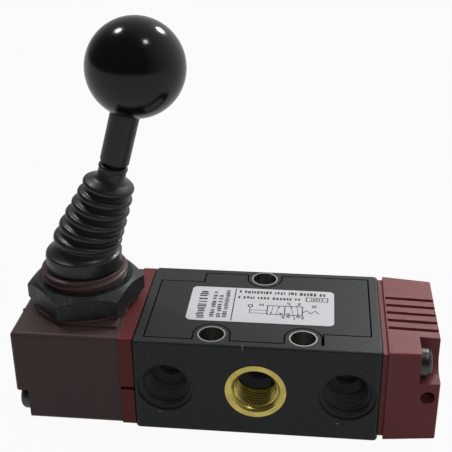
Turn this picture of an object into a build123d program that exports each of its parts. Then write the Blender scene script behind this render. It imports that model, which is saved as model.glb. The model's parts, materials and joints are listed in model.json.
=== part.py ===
from build123d import *
import os
from math import cos, pi, radians, sin, tan

# Hand lever air valve: a spring return spool valve with two working ports,
# worked by a lever that stands in a rubber bellows on the end housing.
#
# Frame, in millimetres: the origin is the centre of the valve body's bottom
# face. +X runs along the body towards the spring cap, +Y to the side with the
# two working ports, +Z up. The lever is modelled at rest, leaning towards +X.

# ---- clearances ----
fit_gap = 0.05           # radial gap of pieces assembled round each other
running_gap = 0.05       # radial gap of a pin or spool that turns or slides
free_gap = 0.3           # gap of pieces that pass without guiding each other

# ---- valve body ----
body_depth = 31.8
body_height = 22.0
body_edge = 0.5
body_corner = 1.0        # upright edges
valve_bore_radius = 7.0

# ---- ports, G1/8 ----
port_pitch = 19.0        # between the three front ports
port_end_margin = 6.7    # from an outer port's axis to the body's end
port_thread_radius = 4.864   # crest of the male thread
port_chamfer = 0.35
port_floor = 0.9         # wall between a port's bottom and the valve bore
port_passage_radius = 2.6
plain_mouth_radius = 6.0
plain_mouth_depth = 0.5
insert_barrel_radius = 5.6
insert_flange_radius = 6.4
insert_flange_depth = 1.0

# ---- mounting holes, M5 ----
mounting_hole_radius = 2.65
sleeve_wall = 0.3
front_hole_inset = 4.2   # hole axis from the front face
rear_hole_inset = 3.5    # hole axis from the rear face

# ---- cover plate and label ----
plate_margin_x = 2.4
plate_margin_y = 2.1
plate_thickness = 1.6
plate_groove = 0.3
plate_step = 4.1
plate_notch_radius = 4.0
label_length = 31.6
label_width = 14.2
label_thickness = 0.12
label_corner = 1.2
label_shift_y = 0.4

# ---- seal stack and spool ----
seal_thickness = 2.2
spool_radius = 4.0
spool_neck_radius = 2.7
cage_wall = 1.7
cage_window_radius = 1.7
spool_tail_radius = 3.0
spool_tail_length = 4.6
spool_end_reach = 1.8    # spool's right end beyond the valve body
spring_bore_radius = 2.75
spring_bore_depth = 12.0

# ---- return spring ----
spring_mean_radius = 2.2
spring_wire_radius = 0.35
spring_turns = 8
guide_pin_radius = 1.6
guide_pin_length = 6.5
guide_disc_radius = 3.6
guide_disc_thickness = 1.0

# ---- flange between body and lever housing ----
flange_thickness = 2.9
flange_inset = 0.4
flange_slot_height = 0.8
flange_slot_depth = 1.2
flange_slot_z = 9.8

# ---- lever housing ----
housing_length = 23.1
housing_inset = 0.6
housing_bottom = 0.4
housing_edge = 1.0
housing_cavity_length = 19.9
housing_cavity_width = 11.0
housing_cavity_bottom = 5.5
housing_cavity_top = 19.2
neck_from_flange = 9.9   # neck axis from the flange's outer face
pad_height = 0.5
boss_radius = 11.5
boss_height = 1.2
neck_radius = 9.0
neck_bore_radius = 5.6
neck_top = 31.0
neck_core_radius = 8.5   # under the thread that shows above the nut
spigot_radius = 7.0
spigot_height = 2.8

# ---- end screws, M3 ----
screw_radius = 1.5
screw_head_radius = 3.0
screw_head_height = 2.4
screw_head_round = 1.2
screw_socket_radius = 1.2
screw_socket_depth = 1.2
screw_bite = 6.0         # length in the valve body
screw_pocket_side = 7.2  # the housing's corner pockets, square
cap_screw_inset = 3.7    # from the valve body's front or rear face
cap_screw_z = 18.1
pocket_radius = 3.4

# ---- hex nut ----
nut_across_flats = 22.0
nut_height = 5.2
nut_turn = 14.6
nut_chamfer = 1.5

# ---- lever ----
pivot_height = 25.5
lever_tilt = 15.25
tip_arm = 9.3            # pivot axis to the centre of the drive ball
drive_ball_radius = 2.5
pivot_pin_radius = 1.5
pivot_pin_length = 16.8
bush_wall = 0.8
hub_radius = 4.8
rod_radius = 2.2
shank_radius = 1.7
stub_radius = 1.2
ball_radius = 10.0
ball_arm = 51.3          # pivot axis to the centre of the knob
lever_sleeve_radius = 3.05
lever_sleeve_gap = 0.5   # between the bellows and the sleeve
insert_radius = 3.5
insert_below = 8.6       # knob insert below the knob's centre
insert_above = 2.0
sleeve_entry = 0.9       # how far the sleeve stands inside the knob

# ---- spool driver ----
driver_wall = 2.5
driver_width = 8.0
driver_bottom = 6.6
driver_top = 18.2
driver_slot_bottom = 13.3
driver_stub_radius = 1.9
driver_stub_length = 2.0

# ---- bellows ----
cuff_radius = 8.15
cuff_height = 3.5
lobe_count = 6
lobe_gap = 1.6           # cuff to the first groove
lobe_pitch = 2.48
lobe_depth = 1.25
first_lobe_radius = 7.5
last_lobe_radius = 5.25
bellows_wall = 0.9
bellows_neck_radius = 2.95
bellows_neck_length = 2.4
bellows_shoulder = 1.2   # the last lobe's slope up to the neck
bellows_bead_radius = 3.1
bellows_bead_length = 0.9
sway_power = 2.3         # how soon the bellows leans over
tilt_lead = 1.45         # its sections tilt sooner than they shift
steps_per_lobe = 6

# ---- spring cap ----
cap_length = 11.9
cap_rebate_length = 1.1
cap_rebate_inset = 0.7
cap_height = 21.7
cap_overhang = 0.15      # cap's base above the valve body's top
cap_side_taper = 0.85    # front and rear, over the cap's length
cap_top_taper = 0.35     # top and bottom
cap_edge = 0.4
cap_cavity_radius = 6.0
cap_end_wall = 2.0
cap_groove_count = 5
cap_groove_pitch = 3.05
cap_groove_width = 1.1
cap_groove_depth = 0.8
cap_window_length = 4.3
vent_radius = 1.5
vent_from_end = 2.4

# ---- end gaskets ----
gasket_inner_radius = 7.6
gasket_outer_radius = 8.8
gasket_thickness = 0.9

# ---- worked out from the sizes above ----
half_length = port_pitch + port_end_margin
half_depth = body_depth / 2
port_depth = half_depth - valve_bore_radius - port_floor
housing_screw_y = half_depth - housing_inset - screw_pocket_side / 2
housing_screw_z = housing_bottom + screw_pocket_side / 2
cap_screw_y = half_depth - cap_screw_inset
spool_z = body_height / 2
front_hole_y = front_hole_inset - half_depth
rear_hole_y = half_depth - rear_hole_inset
sleeve_radius = mounting_hole_radius + sleeve_wall
flange_outer_x = -half_length - flange_thickness
housing_end_x = flange_outer_x - housing_length
neck_x = flange_outer_x - neck_from_flange
cap_end_x = half_length + cap_length
cap_wall_x = cap_end_x - cap_end_wall
seal_half = seal_thickness / 2
seal_pitch = port_pitch / 2
tip_swing = tip_arm * sin(radians(lever_tilt))
stroke = 2 * tip_swing
land_overlap = (stroke - seal_thickness) / 2
driver_slot_half = drive_ball_radius + 0.1
driver_length = 2 * (driver_slot_half + driver_wall)
driver_x = neck_x - tip_swing
driver_right_x = driver_x + driver_length / 2
spool_right_x = half_length + spool_end_reach
spring_left_x = spool_right_x - spring_bore_depth
guide_left_x = cap_wall_x - guide_disc_thickness
nut_bottom = body_height + boss_height
neck_tip = neck_top + spigot_height
bellows_bottom = neck_top + 0.1
sway_start = neck_tip + 0.1
lobes_bottom = bellows_bottom + cuff_height + lobe_gap
lobes_top = lobes_bottom + lobe_count * lobe_pitch
neck_end = lobes_top + bellows_neck_length
bellows_top = neck_end + bellows_bead_length
bellows_reach = (bellows_top - pivot_height) / cos(radians(lever_tilt))
lever_sleeve_start = bellows_reach + lever_sleeve_gap
boss_outer = max(boss_radius, nut_across_flats / 2 + 0.4)
lever_place = Location((neck_x, 0, pivot_height), (0, lever_tilt, 0))
front_holes = [(-port_pitch / 2, front_hole_y), (port_pitch / 2, front_hole_y)]
rear_holes = [(0, rear_hole_y)]
all_holes = front_holes + rear_holes
seal_places = [seal_pitch * (i - 2.5) for i in range(6)]


# ---- helpers ----

def box(x0, x1, y0, y1, z0, z1):
    """A box between two corners."""
    middle = ((x0 + x1) / 2, (y0 + y1) / 2, (z0 + z1) / 2)
    return Pos(*middle) * Box(x1 - x0, y1 - y0, z1 - z0)


def rod_x(radius, x0, x1, y=0.0, z=spool_z):
    """A cylinder along X."""
    return Pos((x0 + x1) / 2, y, z) * Rot(0, 90, 0) * Cylinder(radius, x1 - x0)


def rod_y(radius, y0, y1, x=0.0, z=spool_z):
    """A cylinder along Y."""
    return Pos(x, (y0 + y1) / 2, z) * Rot(90, 0, 0) * Cylinder(radius, y1 - y0)


def rod_z(radius, z0, z1, x=0.0, y=0.0):
    """A cylinder along Z."""
    return Pos(x, y, (z0 + z1) / 2) * Cylinder(radius, z1 - z0)


def widening_y(inner, outer, y, side, x=0.0, z=spool_z):
    """A 45 degree cone along Y that starts at y and widens towards a side."""
    height = outer - inner
    place = Pos(x, y + side * height / 2, z) * Rot(-90 * side, 0, 0)
    return place * Cone(inner, outer, height)


def ring_x(outer, inner, x0, x1):
    """A flat ring round the spool's axis."""
    return rod_x(outer, x0, x1) - rod_x(inner, x0 - 1, x1 + 1)


def turned_z(points, x=0.0, z=0.0):
    """A solid turned about a vertical axis from (radius, height) points."""
    profile = make_face(Plane.XZ * Polyline(*points, close=True))
    return Pos(x, 0, z) * revolve(profile, Axis.Z)


# ---- valve body and what is fixed in it ----

def port_cut(x, side, with_insert):
    """Room for one port; side is -1 for the front face and +1 for the rear."""
    face = side * half_depth
    floor = side * (half_depth - port_depth)
    radius = insert_barrel_radius + fit_gap if with_insert else port_thread_radius
    cut = rod_y(radius, min(face, floor), max(face, floor), x)
    cut += rod_y(port_passage_radius, min(0, face), max(0, face), x)
    mouth_radius = insert_flange_radius + fit_gap if with_insert else plain_mouth_radius
    mouth_depth = insert_flange_depth if with_insert else plain_mouth_depth
    mouth = face - side * mouth_depth
    cut += rod_y(mouth_radius, min(face, mouth), max(face, mouth), x)
    if not with_insert:
        start = mouth - side * port_chamfer
        cut += widening_y(radius, radius + port_chamfer, start, side, x)
    return cut


def plate_outline(offset=0.0):
    """The cover plate's outline, grown outwards by an offset."""
    half_x = half_length - plate_margin_x
    half_y = half_depth - plate_margin_y
    step_x = port_pitch / 2 + plate_notch_radius
    step_y = half_y - plate_step
    outline = Rectangle(2 * (half_x + offset), 2 * (half_y + offset))
    corner_x = half_x - step_x
    corner = Rectangle(corner_x, plate_step)
    place_x = (half_x + step_x) / 2 + offset
    place_y = (half_y + step_y) / 2 + offset
    outline -= Pos(-place_x, place_y) * corner
    outline -= Pos(place_x, -place_y) * corner
    notch = plate_notch_radius - offset
    for x, y in all_holes:
        outward = 1 if y > 0 else -1
        outline -= Pos(x, y) * Circle(notch)
        outline -= Pos(x, y + outward * half_depth / 2) * Rectangle(2 * notch, half_depth)
    return outline


def valve_body():
    """The moulded body with its bore, ports, mounting holes and top pocket."""
    body = box(-half_length, half_length, -half_depth, half_depth, 0, body_height)
    body = fillet(body.edges().filter_by(Axis.Z), body_corner)
    flat_faces = body.faces().filter_by(Axis.Z)
    body = fillet(flat_faces.edges(), body_edge)
    pocket = plate_outline(plate_groove)
    floor = body_height - plate_thickness
    body -= Pos(0, 0, floor) * extrude(pocket, amount=2 * plate_thickness)
    body -= rod_x(valve_bore_radius, -half_length, half_length)
    for x, y in all_holes:
        body -= rod_z(sleeve_radius + fit_gap, -1, body_height + 1, x, y)
    for i in (-1, 0, 1):
        body -= port_cut(i * port_pitch, -1, with_insert=(i == 0))
    for i in (-1, 1):
        body -= port_cut(i * port_pitch / 2, 1, with_insert=True)
    for y, z in housing_screw_places():
        body -= rod_x(screw_radius + fit_gap, -half_length, -half_length + screw_bite, y, z)
    for y, z in cap_screw_places():
        body -= rod_x(screw_radius + fit_gap, half_length - screw_bite, half_length, y, z)
    return body


def port_insert(x, side):
    """A brass thread insert with a flange flush with the face."""
    face = side * half_depth
    floor = side * (half_depth - port_depth)
    mouth = face - side * insert_flange_depth
    insert = rod_y(insert_barrel_radius, min(face, floor), max(face, floor), x)
    insert += rod_y(insert_flange_radius, min(face, mouth), max(face, mouth), x)
    insert -= rod_y(port_thread_radius, min(face, floor) - 1, max(face, floor) + 1, x)
    widened = port_thread_radius + port_chamfer
    return insert - widening_y(port_thread_radius, widened, face - side * port_chamfer, side, x)


def mounting_sleeve(x, y):
    """A thin steel sleeve that lines one mounting hole."""
    return rod_z(sleeve_radius, 0, body_height, x, y) - rod_z(
        mounting_hole_radius, -1, body_height + 1, x, y)


def cover_plate():
    """The black plate let into the body's top."""
    floor = body_height - plate_thickness
    return Pos(0, 0, floor) * extrude(plate_outline(), amount=plate_thickness)


def label():
    """The thin label stuck on the cover plate."""
    outline = RectangleRounded(label_length, label_width, label_corner)
    return Pos(0, label_shift_y, body_height) * extrude(outline, amount=label_thickness)


# ---- seal stack, spool and spring ----

def seal_spacers():
    """Five ported cages and two end washers that hold the seals apart."""
    outer = valve_bore_radius - fit_gap
    inner = outer - cage_wall
    stack = []
    for left, right in zip(seal_places, seal_places[1:]):
        cage = ring_x(outer, inner, left + seal_half, right - seal_half)
        middle = (left + right) / 2
        for turn in (0, 60, 120):
            window = Rot(turn, 0, 0) * Cylinder(cage_window_radius, 4 * outer)
            cage -= Pos(middle, 0, spool_z) * window
        stack.append(cage)
    last = seal_places[-1] + seal_half
    stack.append(ring_x(outer, inner, last, half_length))
    stack.append(ring_x(outer, inner, -half_length, -last))
    return Compound(children=stack)


def spool_seals():
    """Six rubber rings that the spool slides through."""
    outer = valve_bore_radius - fit_gap
    inner = spool_radius + running_gap
    rings = [ring_x(outer, inner, x - seal_half, x + seal_half) for x in seal_places]
    return Compound(children=rings)


def spool():
    """The spool: two necks between lands, a tail for the driver, a spring bore."""
    tail_x = driver_right_x + spool_tail_length
    body = rod_x(spool_radius, tail_x, spool_right_x)
    body += rod_x(spool_tail_radius, driver_right_x, tail_x)
    body += rod_x(driver_stub_radius, driver_right_x - driver_stub_length, driver_right_x)
    for seal in (seal_places[1], seal_places[3]):
        start = seal - seal_half - land_overlap
        body -= ring_x(spool_radius + 1, spool_neck_radius, start, start + seal_pitch)
    body -= rod_x(spring_bore_radius, spring_left_x, spool_right_x)
    return body


def spool_driver():
    """The slotted fork on the spool's tail that the drive ball pushes."""
    left = driver_x - driver_length / 2
    half_width = driver_width / 2
    fork = box(left, driver_right_x, -half_width, half_width, driver_bottom, driver_top)
    fork = fillet(fork.edges().filter_by(Axis.Z), 0.8)
    fork -= box(driver_x - driver_slot_half, driver_x + driver_slot_half,
                -driver_width, driver_width, driver_slot_bottom, driver_top + 1)
    stub_end = driver_right_x - driver_stub_length - fit_gap
    fork -= rod_x(driver_stub_radius + fit_gap, stub_end, driver_right_x)
    return fork


def return_spring():
    """The coil spring between the spool and the spring guide, of eight-sided wire."""
    length = guide_left_x - spring_left_x - 2 * spring_wire_radius
    pitch = length / spring_turns
    path = Helix(pitch=pitch, height=length, radius=spring_mean_radius)
    section = Plane(origin=path @ 0, z_dir=path % 0) * RegularPolygon(spring_wire_radius, 8)
    coil = sweep(section, path=path)
    start_x = spring_left_x + spring_wire_radius
    return Pos(start_x, 0, spool_z) * Rot(0, 90, 0) * coil


def spring_guide():
    """The stepped pin that centres the spring on the cap's end wall."""
    guide = rod_x(guide_disc_radius, guide_left_x, cap_wall_x)
    return guide + rod_x(guide_pin_radius, guide_left_x - guide_pin_length, guide_left_x)


# ---- flange and lever housing ----

def housing_screw_places():
    """(y, z) of the two screws of the lever housing, on a diagonal."""
    return [(-housing_screw_y, housing_screw_z),
            (housing_screw_y, body_height - housing_screw_z)]


def cap_screw_places():
    """(y, z) of the two screws of the spring cap, on the other diagonal."""
    return [(-cap_screw_y, cap_screw_z), (cap_screw_y, body_height - cap_screw_z)]


def end_flange():
    """The red plate between the valve body and the lever housing."""
    half = half_depth - flange_inset
    plate = box(flange_outer_x, -half_length, -half, half, housing_bottom, body_height)
    plate = fillet(plate.edges().filter_by(Axis.X), 0.6)
    plate -= rod_x(spool_radius + free_gap, flange_outer_x - 1, -half_length + 1)
    groove_x = -half_length - gasket_thickness
    plate -= ring_x(gasket_outer_radius + fit_gap, gasket_inner_radius - fit_gap,
                    groove_x, -half_length)
    for side in (-1, 1):
        y0 = side * half
        y1 = side * (half - flange_slot_depth)
        plate -= box(flange_outer_x - 1, -half_length + 1, min(y0, y1), max(y0, y1),
                     flange_slot_z - flange_slot_height / 2,
                     flange_slot_z + flange_slot_height / 2)
    for y, z in housing_screw_places():
        plate -= rod_x(screw_radius + fit_gap, flange_outer_x - 1, -half_length + 1, y, z)
    return plate


def end_gasket(x0):
    """The rubber ring in the groove of an end piece."""
    return ring_x(gasket_outer_radius, gasket_inner_radius, x0, x0 + gasket_thickness)


def housing_block(half):
    """The housing's outer block with rounded edges and its two screw corners."""
    block = box(housing_end_x, flange_outer_x, -half, half, housing_bottom, body_height)
    inner_face = block.faces().sort_by(Axis.X)[-1]
    block = fillet(block.edges() - inner_face.edges(), housing_edge)
    block += box(neck_x, flange_outer_x - housing_edge, -boss_outer, boss_outer,
                 body_height - 1, body_height + pad_height)
    seat_x = housing_end_x + screw_head_height + free_gap
    for side, z0, z1 in ((-1, -1, housing_bottom + screw_pocket_side),
                         (1, body_height - screw_pocket_side, body_height + 1)):
        y0 = side * (half - screw_pocket_side)
        y1 = side * (half + 1)
        block -= box(housing_end_x - 1, seat_x, min(y0, y1), max(y0, y1), z0, z1)
    return block


def lever_housing():
    """The housing with the threaded neck that the lever stands in."""
    half = half_depth - housing_inset
    housing = housing_block(half)
    nut_top = nut_bottom + nut_height
    outline = [(0, body_height - 1), (boss_outer, body_height - 1),
               (boss_outer, nut_bottom), (neck_radius, nut_bottom),
               (neck_radius, nut_top), (neck_core_radius, nut_top),
               (neck_core_radius, neck_top), (spigot_radius, neck_top),
               (spigot_radius, neck_tip), (0, neck_tip)]
    neck = turned_z(outline, neck_x)
    housing += neck - box(flange_outer_x, half_length, -half_depth, half_depth, 0, nut_bottom)
    housing -= rod_z(neck_bore_radius, housing_cavity_top - 1, neck_tip + 1, neck_x)
    half_cavity = housing_cavity_width / 2
    housing -= box(flange_outer_x - housing_cavity_length, flange_outer_x,
                   -half_cavity, half_cavity, housing_cavity_bottom, housing_cavity_top)
    housing -= rod_y(pivot_pin_radius + fit_gap, -neck_radius, neck_radius,
                     neck_x, pivot_height)
    for y, z in housing_screw_places():
        housing -= rod_x(screw_radius + fit_gap, housing_end_x, flange_outer_x, y, z)
    return housing


def end_screws(places, seat_x, head_side):
    """Domed socket screws along X; head_side is the way that the heads point."""
    screws = []
    for y, z in places:
        top = seat_x + head_side * screw_head_height
        tip = head_side * (half_length - screw_bite + fit_gap)
        head = rod_x(screw_head_radius, min(seat_x, top), max(seat_x, top), y, z)
        rim = head.edges().filter_by(GeomType.CIRCLE).filter_by_position(
            Axis.X, top - 0.01, top + 0.01)
        head = fillet(rim, screw_head_round)
        socket_floor = top - head_side * screw_socket_depth
        socket = Plane(origin=(socket_floor, y, z), z_dir=(head_side, 0, 0))
        head -= extrude(socket * RegularPolygon(screw_socket_radius, 6), amount=3)
        shank = rod_x(screw_radius, min(seat_x, tip), max(seat_x, tip), y, z)
        screws.append(head + shank)
    return Compound(children=screws)


def hex_nut():
    """The black nut on the neck's thread, chamfered on top and underneath."""
    corner = nut_across_flats / 2 / cos(radians(30))
    flat = nut_across_flats / 2
    blank = extrude(RegularPolygon(corner, 6, rotation=nut_turn), amount=nut_height)
    low = nut_chamfer / 2
    shape = [(0, 0), (flat, 0), (corner, low), (corner, nut_height - nut_chamfer),
             (flat - 0.6, nut_height), (0, nut_height)]
    nut = blank & turned_z(shape)
    nut -= rod_z(neck_radius + fit_gap, -1, nut_height + 1)
    return Pos(neck_x, 0, nut_bottom) * nut


# ---- lever ----

def pivot_pin():
    """The pin through the neck that the lever turns on."""
    half = pivot_pin_length / 2
    return rod_y(pivot_pin_radius, -half, half, neck_x, pivot_height)


def pivot_bush():
    """The bush in the lever's hub."""
    half = sqrt_chord(hub_radius, pivot_pin_radius + running_gap + bush_wall)
    bush = rod_y(pivot_pin_radius + running_gap + bush_wall, -half, half, 0, 0)
    return lever_place * (bush - rod_y(pivot_pin_radius + running_gap, -half - 1, half + 1, 0, 0))


def sqrt_chord(radius, offset):
    """Half the chord of a circle at an offset from its centre."""
    return (radius ** 2 - offset ** 2) ** 0.5


def lever_rod():
    """The steel rod with its round hub, lower shank and stub."""
    top = ball_arm + insert_above - 0.5
    rod = Sphere(hub_radius) + rod_z(rod_radius, 0, top)
    shank_end = tip_arm - sqrt_chord(drive_ball_radius, shank_radius)
    rod += rod_z(shank_radius, -shank_end, 0)
    rod += rod_z(stub_radius, -tip_arm, 0)
    bush_radius = pivot_pin_radius + running_gap + bush_wall
    rod -= rod_y(bush_radius + fit_gap, -hub_radius, hub_radius, 0, 0)
    return lever_place * rod


def drive_ball():
    """The ball on the lever's lower end, in the driver's slot."""
    ball = Sphere(drive_ball_radius)
    shank_end = sqrt_chord(drive_ball_radius, shank_radius)
    ball -= rod_z(shank_radius + fit_gap, shank_end, drive_ball_radius + 1)
    ball -= rod_z(stub_radius + fit_gap, -fit_gap, drive_ball_radius)
    return lever_place * (Pos(0, 0, -tip_arm) * ball)


def lever_sleeve():
    """The tube round the rod between the bellows and the knob."""
    top = ball_arm - sqrt_chord(ball_radius, lever_sleeve_radius) + sleeve_entry
    tube = rod_z(lever_sleeve_radius, lever_sleeve_start, top)
    bottom = tube.edges().filter_by(GeomType.CIRCLE).sort_by(Axis.Z)[0]
    tube = chamfer(bottom, 0.45)
    tube -= rod_z(rod_radius + fit_gap, lever_sleeve_start - 1, top + 1)
    return lever_place * tube


def knob_insert():
    """The threaded insert moulded into the knob."""
    bottom = ball_arm - insert_below
    insert = rod_z(insert_radius, bottom, ball_arm + insert_above)
    insert -= rod_z(rod_radius + fit_gap, bottom - 1, ball_arm + insert_above - 0.4)
    return lever_place * insert


def ball_knob():
    """The round knob, bored from below for its insert and the sleeve."""
    ball = Sphere(ball_radius)
    ball -= rod_z(insert_radius + fit_gap, -ball_radius, insert_above + fit_gap)
    return lever_place * (Pos(0, 0, ball_arm) * ball)


# ---- bellows ----

def sway(z):
    """How far the bellows has left the neck's axis for the lever's, 0 to 1."""
    left = (neck_end - z) / (neck_end - sway_start)
    return 1 - min(max(left, 0.0), 1.0) ** sway_power


def bellows_section(z, radius):
    """A round section of the bellows, shifted and tilted with the lever."""
    share = sway(z)
    x = neck_x + share * (z - pivot_height) * tan(radians(lever_tilt))
    tilt = min(share * tilt_lead, 1.0) * lever_tilt
    plane = Plane(Location((x, 0, z), (0, tilt, 0)))
    return plane * Circle(radius)


def lobe_radius(z):
    """Crest radius of the lobes at a height."""
    along = (z - lobes_bottom) / (lobes_top - lobes_bottom)
    return first_lobe_radius + along * (last_lobe_radius - first_lobe_radius)


def bellows():
    """The rubber bellows: cuff on the spigot, lobes, and a neck round the rod."""
    cuff_top = bellows_bottom + cuff_height
    outer = [bellows_section(bellows_bottom, cuff_radius - 0.3),
             bellows_section(bellows_bottom + 0.4, cuff_radius),
             bellows_section(sway_start, cuff_radius),
             bellows_section(cuff_top - 0.5, cuff_radius),
             bellows_section(cuff_top, cuff_radius - 0.5)]
    for i in range(lobe_count * steps_per_lobe + 1):
        z = lobes_bottom + i * lobe_pitch / steps_per_lobe
        dip = lobe_depth * (1 + cos(2 * pi * i / steps_per_lobe)) / 2
        if z > lobes_top - lobe_pitch / 2:
            dip /= 2
        outer.append(bellows_section(z, lobe_radius(z) - dip))
    outer.append(bellows_section(lobes_top + bellows_shoulder, bellows_neck_radius))
    outer.append(bellows_section(neck_end - 0.3, bellows_neck_radius))
    outer.append(bellows_section(neck_end, bellows_bead_radius))
    outer.append(bellows_section(bellows_top - 0.3, bellows_bead_radius))
    outer.append(bellows_section(bellows_top, bellows_neck_radius))
    inside = spigot_radius + fit_gap
    inner = [bellows_section(bellows_bottom - 1, inside),
             bellows_section(sway_start, inside),
             bellows_section(cuff_top - 0.2, inside)]
    for i in range(lobe_count + 1):
        z = lobes_bottom + i * lobe_pitch * (lobe_count - 0.3) / lobe_count
        inner.append(bellows_section(z, lobe_radius(z) - lobe_depth - bellows_wall))
    grip = rod_radius + 2 * running_gap
    inner.append(bellows_section(lobes_top - 0.3, grip))
    inner.append(bellows_section(bellows_top + 1, grip))
    return loft(outer, ruled=True) - loft(inner, ruled=True)


# ---- spring cap ----

def cap_window():
    """The open corner round a cap screw's head, with a rounded inner floor."""
    x0 = cap_end_x - cap_window_length
    x1 = cap_end_x + 1
    cut = rod_x(pocket_radius, x0, x1, -cap_screw_y, cap_screw_z)
    cut += box(x0, x1, -half_depth - 2, pocket_radius - cap_screw_y,
               cap_screw_z, body_height + 2)
    cut += box(x0, x1, -half_depth - 2, -cap_screw_y,
               cap_screw_z - pocket_radius, body_height + 2)
    return cut


def spring_cap():
    """The drafted red cap over the return spring."""
    middle = body_height + cap_overhang - cap_height / 2
    inset = 2 * cap_rebate_inset
    base_x = half_length + cap_rebate_length
    strip = Plane(origin=(half_length, 0, middle), x_dir=(0, 1, 0), z_dir=(1, 0, 0))
    base = Plane(origin=(base_x, 0, middle), x_dir=(0, 1, 0), z_dir=(1, 0, 0))
    end = Plane(origin=(cap_end_x, 0, middle), x_dir=(0, 1, 0), z_dir=(1, 0, 0))
    cap_width = body_depth - 0.2
    cap = loft([base * Rectangle(cap_width, cap_height),
                end * Rectangle(cap_width - 2 * cap_side_taper, cap_height - 2 * cap_top_taper)])
    cap = fillet(cap.edges() - cap.faces().sort_by(Axis.X)[0].edges(), cap_edge)
    cap += extrude(strip * Rectangle(body_depth - inset, cap_height - inset),
                   amount=cap_rebate_length)
    for i in range(cap_groove_count):
        y = (i - (cap_groove_count - 1) / 2) * cap_groove_pitch
        top = body_height + cap_overhang
        cut = box(base_x + 0.25, cap_end_x + 1, y - cap_groove_width / 2,
                  y + cap_groove_width / 2, top - cap_groove_depth, top + 1)
        cap -= cut
    window = cap_window()
    cap -= window
    cap -= Pos(0, 0, body_height) * Rot(180, 0, 0) * window
    cap -= rod_x(cap_cavity_radius, half_length, cap_wall_x)
    cap -= ring_x(gasket_outer_radius + fit_gap, gasket_inner_radius - fit_gap,
                  half_length, half_length + gasket_thickness)
    cap -= rod_y(vent_radius, -body_depth, 0, cap_end_x - vent_from_end,
                 spool_z + 0.3)
    for y, z in cap_screw_places():
        cap -= rod_x(screw_radius + fit_gap, half_length, cap_end_x, y, z)
    return cap


# ---- the nodes ----

def all_nodes():
    """Every sub-part of the valve by its node name."""
    cap_seat = cap_end_x - cap_window_length
    housing_seat = housing_end_x + screw_head_height + free_gap
    return {
        "valve_body": valve_body(),
        "cover_plate": cover_plate(),
        "label": label(),
        "port_insert_1": port_insert(0, -1),
        "port_insert_2": port_insert(port_pitch / 2, 1),
        "port_insert_4": port_insert(-port_pitch / 2, 1),
        "mounting_sleeve_front_left": mounting_sleeve(*front_holes[0]),
        "mounting_sleeve_front_right": mounting_sleeve(*front_holes[1]),
        "mounting_sleeve_rear": mounting_sleeve(*rear_holes[0]),
        "seal_spacers": seal_spacers(),
        "spool_seals": spool_seals(),
        "spool": spool(),
        "spool_driver": spool_driver(),
        "return_spring": return_spring(),
        "spring_guide": spring_guide(),
        "end_flange": end_flange(),
        "flange_gasket": end_gasket(-half_length - gasket_thickness),
        "cap_gasket": end_gasket(half_length),
        "lever_housing": lever_housing(),
        "housing_screws": end_screws(housing_screw_places(), housing_seat, -1),
        "hex_nut": hex_nut(),
        "pivot_pin": pivot_pin(),
        "pivot_bush": pivot_bush(),
        "lever_rod": lever_rod(),
        "drive_ball": drive_ball(),
        "lever_sleeve": lever_sleeve(),
        "knob_insert": knob_insert(),
        "ball_knob": ball_knob(),
        "bellows": bellows(),
        "spring_cap": spring_cap(),
        "cap_screws": end_screws(cap_screw_places(), cap_seat, 1),
    }


os.makedirs("parts", exist_ok=True)
for name, shape in all_nodes().items():
    export_step(shape, "parts/" + name + ".step")
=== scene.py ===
import json
import random
from math import cos, pi, radians, sin, sqrt, tan
import bmesh
import bpy
from mathutils import Euler, Matrix, Vector


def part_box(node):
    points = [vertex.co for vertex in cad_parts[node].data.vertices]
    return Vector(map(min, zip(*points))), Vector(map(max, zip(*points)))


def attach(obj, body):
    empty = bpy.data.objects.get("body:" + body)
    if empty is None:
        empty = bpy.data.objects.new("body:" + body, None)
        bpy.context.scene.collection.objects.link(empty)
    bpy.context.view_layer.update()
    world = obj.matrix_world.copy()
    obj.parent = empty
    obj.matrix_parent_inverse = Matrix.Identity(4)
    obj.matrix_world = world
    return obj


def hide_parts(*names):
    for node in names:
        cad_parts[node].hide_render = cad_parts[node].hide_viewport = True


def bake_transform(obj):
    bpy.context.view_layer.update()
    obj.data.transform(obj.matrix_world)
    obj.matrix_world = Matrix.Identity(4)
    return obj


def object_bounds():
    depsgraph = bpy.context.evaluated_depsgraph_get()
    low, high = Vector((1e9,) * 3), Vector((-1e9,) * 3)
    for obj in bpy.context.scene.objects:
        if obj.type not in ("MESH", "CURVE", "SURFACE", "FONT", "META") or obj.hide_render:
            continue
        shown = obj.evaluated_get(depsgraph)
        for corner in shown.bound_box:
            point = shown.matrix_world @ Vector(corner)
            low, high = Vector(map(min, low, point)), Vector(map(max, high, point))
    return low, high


# Hand lever air valve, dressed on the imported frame. Lengths here are in metres;
# sizes that are easier to read in millimetres are written as a number times MM.
# Only the label's drawing is in plain millimetres, from the label's centre.
MM = 0.001
WHITE = (1, 1, 1, 1)

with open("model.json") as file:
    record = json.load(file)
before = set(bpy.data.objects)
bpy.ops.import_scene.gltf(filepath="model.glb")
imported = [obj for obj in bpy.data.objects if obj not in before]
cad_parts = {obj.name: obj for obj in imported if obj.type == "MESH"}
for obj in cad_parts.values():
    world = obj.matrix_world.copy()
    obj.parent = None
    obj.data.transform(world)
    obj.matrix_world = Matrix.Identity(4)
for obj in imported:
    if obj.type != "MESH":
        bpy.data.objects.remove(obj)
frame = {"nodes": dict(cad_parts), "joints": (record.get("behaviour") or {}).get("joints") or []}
cad_low, cad_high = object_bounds()
nodes = frame["nodes"]


def middle(node):
    """Centre of a CAD node's box."""
    low, high = (Vector(corner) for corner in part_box(node))
    return (low + high) / 2


def low_corner(node):
    return Vector(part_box(node)[0])


def high_corner(node):
    return Vector(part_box(node)[1])


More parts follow.
